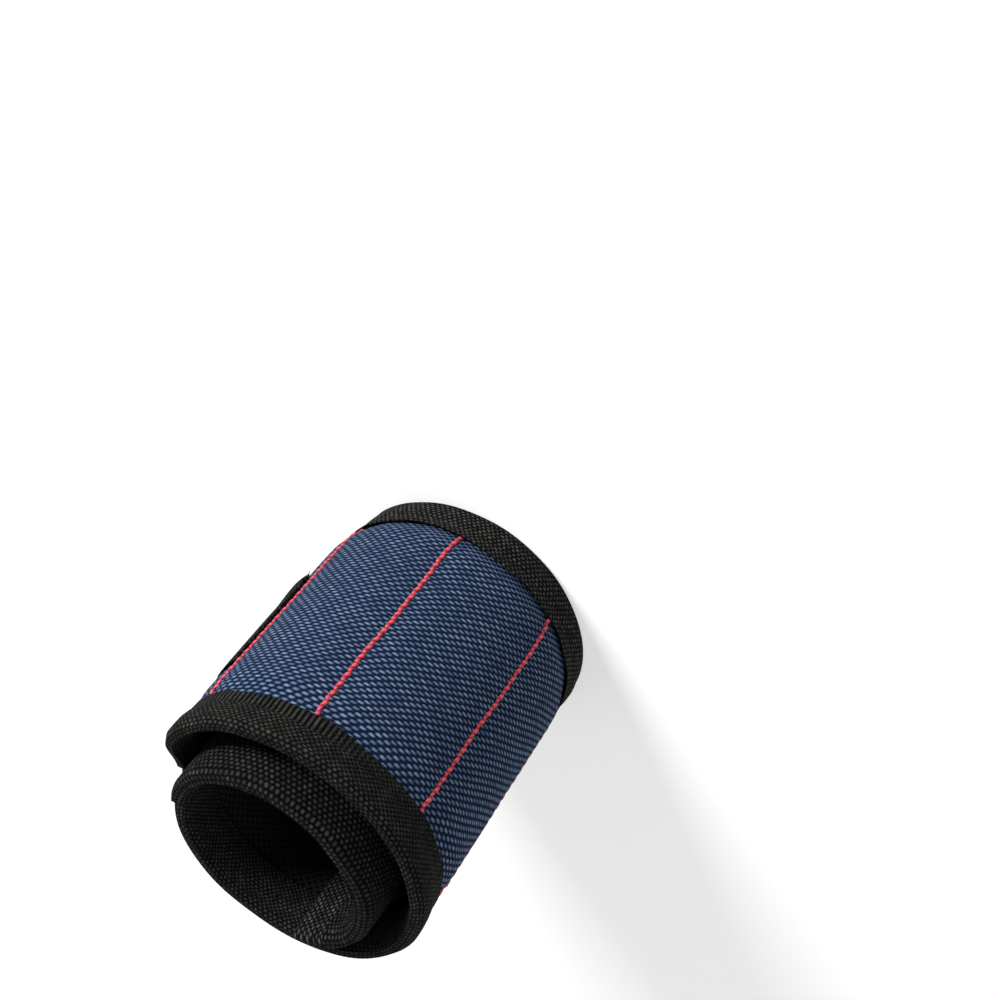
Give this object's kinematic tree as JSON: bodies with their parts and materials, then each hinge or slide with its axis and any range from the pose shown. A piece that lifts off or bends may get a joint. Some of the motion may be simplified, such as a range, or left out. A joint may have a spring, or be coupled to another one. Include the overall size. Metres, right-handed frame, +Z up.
{
  "type": "magnetic wristband",
  "caption": "Padded cloth wristband with stitched magnet cells, wound nearly twice round and closed by a hook strap.",
  "frame": {"origin": "under the middle of the closed wristband, on the surface it stands on", "axes": "+Z up along the wrist from the lower rim to the upper rim, -Y toward the front magnet cells, +X toward the strap"},
  "size_m": [0.0728, 0.0648, 0.093],
  "materials": {
    "navy_nylon": "coarse basket-weave nylon, navy, faint sheen",
    "loop_cloth": "black brushed loop cloth",
    "lining_cloth": "black open-weave lining",
    "binding_tape": "black ribbed woven binding tape",
    "foam": "soft closed-cell foam sheet",
    "magnet": "nickel-plated plate magnet",
    "strap_webbing": "black woven strap",
    "hook_tape": "black hook tape"
  },
  "bodies": {
    "cell_1": {"cell_1_cover": "navy_nylon", "cell_1_pad": "foam", "cell_1_lining": "lining_cloth", "cell_1_lower_binding": "binding_tape", "cell_1_upper_binding": "binding_tape", "cell_1_lower_magnet": "magnet", "cell_1_middle_magnet": "magnet", "cell_1_upper_magnet": "magnet", "outer_end_binding": "binding_tape"},
    "cell_2": {"cell_2_cover": "navy_nylon", "cell_2_pad": "foam", "cell_2_lining": "lining_cloth", "cell_2_lower_binding": "binding_tape", "cell_2_upper_binding": "binding_tape", "cell_2_lower_magnet": "magnet", "cell_2_middle_magnet": "magnet", "cell_2_upper_magnet": "magnet"},
    "cell_3": {"cell_3_cover": "navy_nylon", "cell_3_pad": "foam", "cell_3_lining": "lining_cloth", "cell_3_lower_binding": "binding_tape", "cell_3_upper_binding": "binding_tape", "cell_3_lower_magnet": "magnet", "cell_3_middle_magnet": "magnet", "cell_3_upper_magnet": "magnet"},
    "cell_4": {"cell_4_cover": "navy_nylon", "cell_4_pad": "foam", "cell_4_lining": "lining_cloth", "cell_4_lower_binding": "binding_tape", "cell_4_upper_binding": "binding_tape", "cell_4_lower_magnet": "magnet", "cell_4_middle_magnet": "magnet", "cell_4_upper_magnet": "magnet"},
    "cell_5": {"cell_5_cover": "navy_nylon", "cell_5_pad": "foam", "cell_5_lining": "lining_cloth", "cell_5_lower_binding": "binding_tape", "cell_5_upper_binding": "binding_tape", "cell_5_lower_magnet": "magnet", "cell_5_middle_magnet": "magnet", "cell_5_upper_magnet": "magnet"},
    "back": {"back_cover": "loop_cloth", "back_pad": "foam", "back_lining": "lining_cloth", "back_lower_binding": "binding_tape", "back_upper_binding": "binding_tape"},
    "inner": {"inner_cover": "loop_cloth", "inner_pad": "foam", "inner_lining": "lining_cloth", "inner_lower_binding": "binding_tape", "inner_upper_binding": "binding_tape", "inner_end_binding": "binding_tape"},
    "strap": {"strap_webbing": "strap_webbing", "hook_tape": "hook_tape"}
  },
  "joints": [
    {"name": "strap_peel", "type": "hinge", "parent": "cell_1", "child": "strap", "pos_m": [0.03501, 0.00333, 0.049], "axis": [0, 0, -1], "range_deg": [0, 110]},
    {"name": "row_1_fold", "type": "hinge", "parent": "cell_2", "child": "cell_1", "pos_m": [0.03437, 0.00229, 0.045], "axis": [0, 0, -1], "range_deg": [0, 33]},
    {"name": "row_2_fold", "type": "hinge", "parent": "cell_3", "child": "cell_2", "pos_m": [0.02107, -0.0249, 0.045], "axis": [0, 0, -1], "range_deg": [0, 33]},
    {"name": "row_3_fold", "type": "hinge", "parent": "cell_4", "child": "cell_3", "pos_m": [-0.00884, -0.03117, 0.045], "axis": [0, 0, -1], "range_deg": [0, 33]},
    {"name": "row_4_fold", "type": "hinge", "parent": "cell_5", "child": "cell_4", "pos_m": [-0.03291, -0.01256, 0.045], "axis": [0, 0, -1], "range_deg": [0, 33]},
    {"name": "row_5_fold", "type": "hinge", "parent": "back", "child": "cell_5", "pos_m": [-0.03122, 0.01757, 0.045], "axis": [0, 0, -1], "range_deg": [0, 33]},
    {"name": "tail_fold", "type": "hinge", "parent": "back", "child": "inner", "pos_m": [0.00966, 0.02619, 0.045], "axis": [0, 0, 1], "range_deg": [0, 66]}
  ],
  "couplings": [
    {"joint": "row_1_fold", "follows": "strap_peel", "ratio": 0.3},
    {"joint": "row_2_fold", "follows": "strap_peel", "ratio": 0.3},
    {"joint": "row_3_fold", "follows": "strap_peel", "ratio": 0.3},
    {"joint": "row_4_fold", "follows": "strap_peel", "ratio": 0.3},
    {"joint": "row_5_fold", "follows": "strap_peel", "ratio": 0.3},
    {"joint": "tail_fold", "follows": "strap_peel", "ratio": 0.6}
  ]
}
